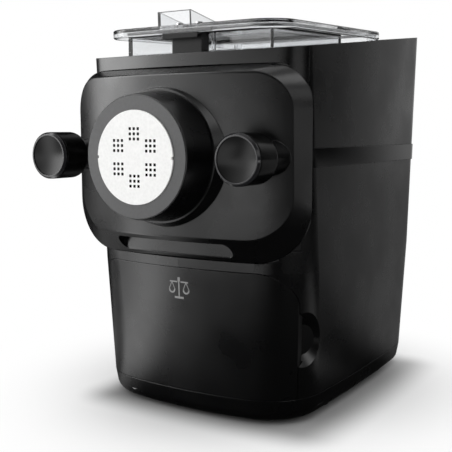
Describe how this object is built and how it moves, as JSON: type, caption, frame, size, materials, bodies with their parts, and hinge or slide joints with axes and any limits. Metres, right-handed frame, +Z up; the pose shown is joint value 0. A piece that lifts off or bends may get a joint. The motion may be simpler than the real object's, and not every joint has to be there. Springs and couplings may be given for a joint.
{
  "type": "electric pasta maker",
  "caption": "Upright electric pasta maker that mixes dough in a see-through chamber and presses it through a front disc; removable panel, lid and storage drawer.",
  "frame": {"origin": "middle of the footprint on the table, under the machine", "axes": "+Z up, front with the outlet faces -Y, +X to the right seen from the front"},
  "size_m": [0.216, 0.3283, 0.3167],
  "materials": {
    "body_black": "satin",
    "panel_black": "satin",
    "gloss_black": "gloss",
    "collar_grey": "satin",
    "disc_white": "satin",
    "knob_black": "gloss",
    "knob_metal": "gloss",
    "clear": "gloss",
    "inner_grey": "matte",
    "gear_plastic": "matte",
    "steel": "satin",
    "brass": "satin",
    "rubber_dark": "matte",
    "board_green": "satin",
    "tray_grey": "satin",
    "window_dark": "gloss",
    "paddle_white": "satin",
    "magnet": "matte"
  },
  "bodies": {
    "housing": {"base_pan": "body_black", "feet": "rubber_dark", "load_cells": "steel", "base_screws": "steel", "left_cover": "body_black", "right_cover": "body_black", "rear_cover": "body_black", "side_band": "gloss_black", "front_fascia": "body_black", "top_deck": "body_black", "control_panel": "gloss_black", "display_window": "window_dark", "circuit_boards": "board_green", "chassis_plate": "inner_grey", "bulkhead": "inner_grey", "chamber_cradle": "inner_grey", "mixing_chamber": "clear", "shaft_seal": "rubber_dark", "shaft_bearings": "steel", "plain_bushes": "brass", "gearbox_case": "inner_grey", "gearbox_screws": "steel", "motor_can": "steel", "motor_magnets": "magnet", "motor_end_cap": "inner_grey", "power_inlet": "rubber_dark", "tie_rods": "steel", "drawer_bay": "inner_grey", "lid_sensor": "inner_grey"},
    "drive": {"output_shaft": "steel", "output_gear": "gear_plastic", "drive_coupling": "inner_grey", "mixing_paddle": "paddle_white", "auger": "paddle_white"},
    "idler": {"idler_shaft": "steel", "idler_gear": "gear_plastic", "idler_pinion": "steel"},
    "motor": {"motor_shaft": "steel", "rotor": "magnet", "motor_pinion": "brass", "cooling_fan": "inner_grey"},
    "panel": {"front_panel": "panel_black", "outlet_collar": "panel_black", "collar_ring": "collar_grey", "shaping_disc": "disc_white", "extrusion_tube": "paddle_white"},
    "left_knob": {"left_knob_grip": "knob_black", "left_knob_ring": "knob_metal"},
    "right_knob": {"right_knob_grip": "knob_black", "right_knob_ring": "knob_metal"},
    "cover": {"lid": "clear", "lid_seal": "rubber_dark", "lid_key": "panel_black", "lid_key_screws": "steel"},
    "drawer": {"drawer_front": "body_black", "drawer_tray": "tray_grey"},
    "power_key": {"power_button": "panel_black"},
    "program_key": {"program_button": "panel_black"},
    "weight_key": {"weight_button": "panel_black"},
    "start_key": {"start_button": "panel_black"}
  },
  "joints": [
    {"name": "drive_spin", "type": "hinge", "parent": "housing", "child": "drive", "pos_m": [0, 0, 0.204], "axis": [0, 1, 0], "continuous": true},
    {"name": "idler_spin", "type": "hinge", "parent": "housing", "child": "idler", "pos_m": [0, 0, 0.136], "axis": [0, 1, 0], "continuous": true},
    {"name": "motor_spin", "type": "hinge", "parent": "housing", "child": "motor", "pos_m": [0, 0, 0.085], "axis": [0, 1, 0], "continuous": true},
    {"name": "panel_slide", "type": "slide", "parent": "housing", "child": "panel", "axis": [0, -1, 0], "range_m": [0, 0.1]},
    {"name": "left_knob_turn", "type": "hinge", "parent": "panel", "child": "left_knob", "pos_m": [-0.0835, -0.15, 0.204], "axis": [0, 1, 0], "continuous": true},
    {"name": "right_knob_turn", "type": "hinge", "parent": "panel", "child": "right_knob", "pos_m": [0.0835, -0.15, 0.204], "axis": [0, 1, 0], "continuous": true},
    {"name": "lid_lift", "type": "slide", "parent": "housing", "child": "cover", "axis": [0, 0, 1], "range_m": [0, 0.12]},
    {"name": "drawer_slide", "type": "slide", "parent": "housing", "child": "drawer", "axis": [0, -1, 0], "range_m": [0, 0.105]},
    {"name": "power_key_press", "type": "slide", "parent": "housing", "child": "power_key", "axis": [0, 0.1167, -0.9932], "range_m": [0, 0.0012], "stiffness_N_per_m": 400, "springref_m": -0.001},
    {"name": "program_key_press", "type": "slide", "parent": "housing", "child": "program_key", "axis": [0, 0.1167, -0.9932], "range_m": [0, 0.0012], "stiffness_N_per_m": 400, "springref_m": -0.001},
    {"name": "weight_key_press", "type": "slide", "parent": "housing", "child": "weight_key", "axis": [0, 0.1167, -0.9932], "range_m": [0, 0.0012], "stiffness_N_per_m": 400, "springref_m": -0.001},
    {"name": "start_key_press", "type": "slide", "parent": "housing", "child": "start_key", "axis": [0, 0.1167, -0.9932], "range_m": [0, 0.0012], "stiffness_N_per_m": 400, "springref_m": -0.001}
  ],
  "couplings": [
    {"joint": "idler_spin", "follows": "drive_spin", "ratio": -3.8571},
    {"joint": "motor_spin", "follows": "drive_spin", "ratio": 14.878}
  ]
}
